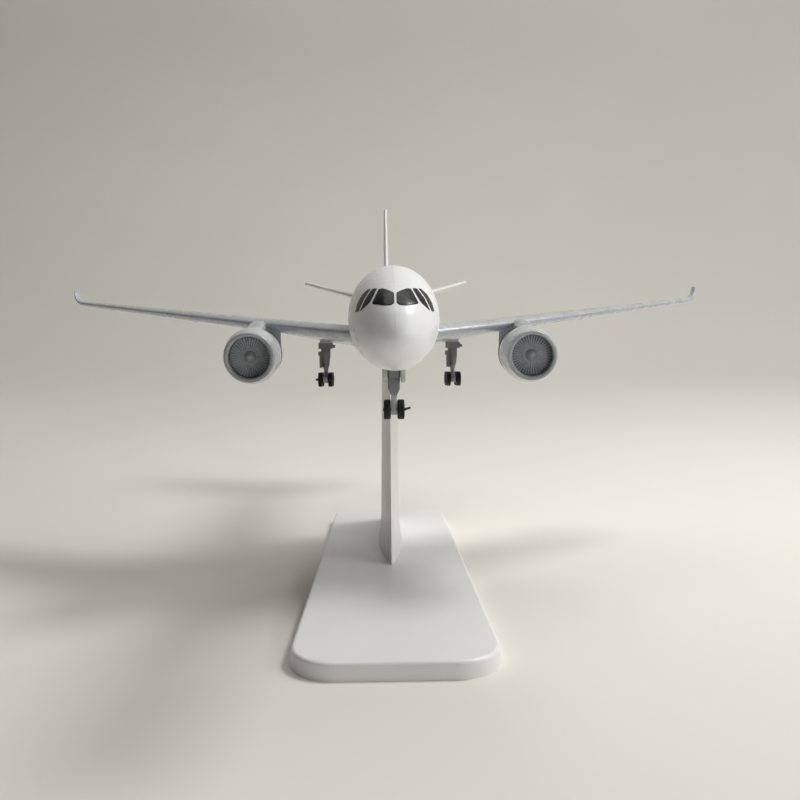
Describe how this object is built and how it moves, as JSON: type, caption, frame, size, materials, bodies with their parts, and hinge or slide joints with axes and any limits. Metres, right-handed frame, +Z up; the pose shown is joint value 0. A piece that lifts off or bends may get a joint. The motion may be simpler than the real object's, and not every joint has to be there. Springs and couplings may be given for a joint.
{
  "type": "desktop airliner model on a stand",
  "caption": "Desk display model of a twin-engined airliner with rolling landing gear wheels, lifted off and set back on a column with a flat trapezoid base.",
  "frame": {"origin": "on the table under the middle of the airframe's length and span", "axes": "+Y runs from nose to tail, +X to the model's port side, +Z up"},
  "size_m": [0.1936, 0.2, 0.1081],
  "materials": {
    "white_paint": "gloss white enamel on zinc casting",
    "nacelle_paint": "gloss white enamel with a grey inlet lip",
    "wing_paint": "satin blue-grey enamel on zinc casting",
    "tail_plastic": "off-white moulded plastic",
    "fan_plastic": "grey moulded plastic",
    "gear_plastic": "dark grey moulded plastic",
    "wheel_plastic": "black moulded wheel",
    "axle_steel": "blackened steel pin",
    "screw_steel": "zinc-plated self-tapping screw",
    "stand_plastic": "satin white moulded plastic"
  },
  "bodies": {
    "stand": {"stand_base": "stand_plastic", "stand_column": "stand_plastic", "stand_screws": "screw_steel"},
    "airframe": {"fuselage_upper_shell": "white_paint", "fuselage_lower_shell": "white_paint", "fuselage_screws": "screw_steel", "port_wing": "wing_paint", "starboard_wing": "wing_paint", "wing_screws": "screw_steel", "tail_fin": "tail_plastic", "port_tailplane": "tail_plastic", "starboard_tailplane": "tail_plastic", "port_engine_pylon": "wing_paint", "starboard_engine_pylon": "wing_paint", "port_nacelle": "nacelle_paint", "starboard_nacelle": "nacelle_paint", "port_fan": "fan_plastic", "starboard_fan": "fan_plastic", "nose_gear_leg": "gear_plastic", "nose_gear_door_port": "tail_plastic", "nose_gear_door_starboard": "tail_plastic", "port_gear_leg": "gear_plastic", "starboard_gear_leg": "gear_plastic"},
    "nose_wheelset": {"nose_axle": "axle_steel", "nose_wheel_port": "wheel_plastic", "nose_wheel_starboard": "wheel_plastic"},
    "port_front_wheelset": {"port_front_axle": "axle_steel", "port_front_wheel_outer": "wheel_plastic", "port_front_wheel_inner": "wheel_plastic"},
    "port_rear_wheelset": {"port_rear_axle": "axle_steel", "port_rear_wheel_outer": "wheel_plastic", "port_rear_wheel_inner": "wheel_plastic"},
    "starboard_front_wheelset": {"starboard_front_axle": "axle_steel", "starboard_front_wheel_outer": "wheel_plastic", "starboard_front_wheel_inner": "wheel_plastic"},
    "starboard_rear_wheelset": {"starboard_rear_axle": "axle_steel", "starboard_rear_wheel_outer": "wheel_plastic", "starboard_rear_wheel_inner": "wheel_plastic"}
  },
  "joints": [
    {"name": "airframe_lift", "type": "slide", "parent": "stand", "child": "airframe", "axis": [0, 0, 1], "range_m": [0, 0.012]},
    {"name": "nose_roll", "type": "hinge", "parent": "airframe", "child": "nose_wheelset", "pos_m": [0, -0.073, 0.0532], "axis": [1, 0, 0], "continuous": true},
    {"name": "port_front_roll", "type": "hinge", "parent": "airframe", "child": "port_front_wheelset", "pos_m": [0.018, -0.00304, 0.05269], "axis": [1, 0, 0], "continuous": true},
    {"name": "port_rear_roll", "type": "hinge", "parent": "airframe", "child": "port_rear_wheelset", "pos_m": [0.018, 0.00304, 0.05221], "axis": [1, 0, 0], "continuous": true},
    {"name": "starboard_front_roll", "type": "hinge", "parent": "airframe", "child": "starboard_front_wheelset", "pos_m": [-0.018, -0.00304, 0.05269], "axis": [1, 0, 0], "continuous": true},
    {"name": "starboard_rear_roll", "type": "hinge", "parent": "airframe", "child": "starboard_rear_wheelset", "pos_m": [-0.018, 0.00304, 0.05221], "axis": [1, 0, 0], "continuous": true}
  ]
}
